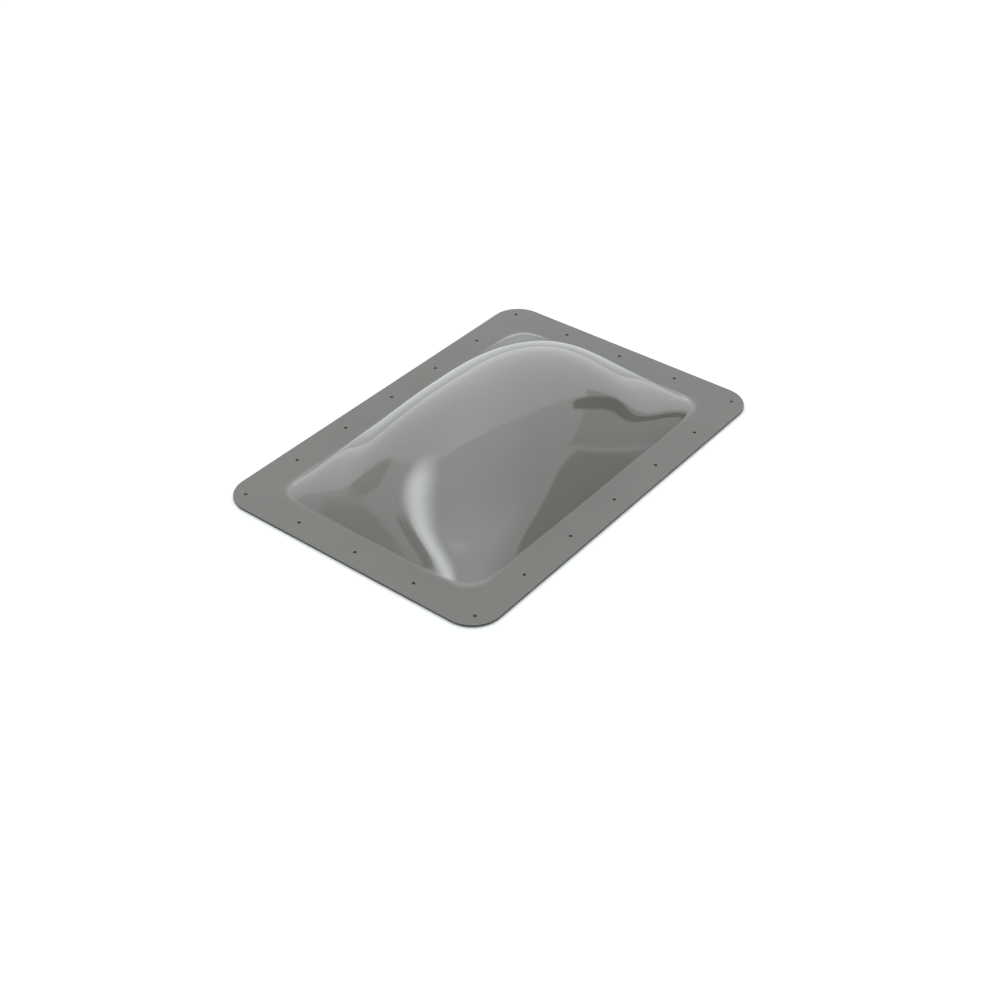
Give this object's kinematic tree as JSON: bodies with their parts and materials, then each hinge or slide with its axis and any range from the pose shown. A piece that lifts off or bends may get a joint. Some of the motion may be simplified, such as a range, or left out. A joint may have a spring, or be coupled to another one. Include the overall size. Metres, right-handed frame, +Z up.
{
  "type": "roof skylight dome",
  "caption": "Smoke-tinted blown skylight dome with a wide flat screw flange and bedding strips, for closing a rectangular opening in a vehicle roof.",
  "frame": {"origin": "the middle of the plane that the bedding strips rest on, which is the roof skin", "axes": "+Z up, out of the roof; +Y along the long side; +X along the short side"},
  "size_m": [0.4572, 0.6604, 0.1265],
  "materials": {
    "smoke_sheet": "polished smoke-grey tinted polycarbonate",
    "bedding_tape": "matt pale grey butyl tape"
  },
  "bodies": {
    "root": {"dome": "smoke_sheet", "seal_strip_front": "bedding_tape", "seal_strip_rear": "bedding_tape", "seal_strip_left": "bedding_tape", "seal_strip_right": "bedding_tape"}
  },
  "joints": []
}
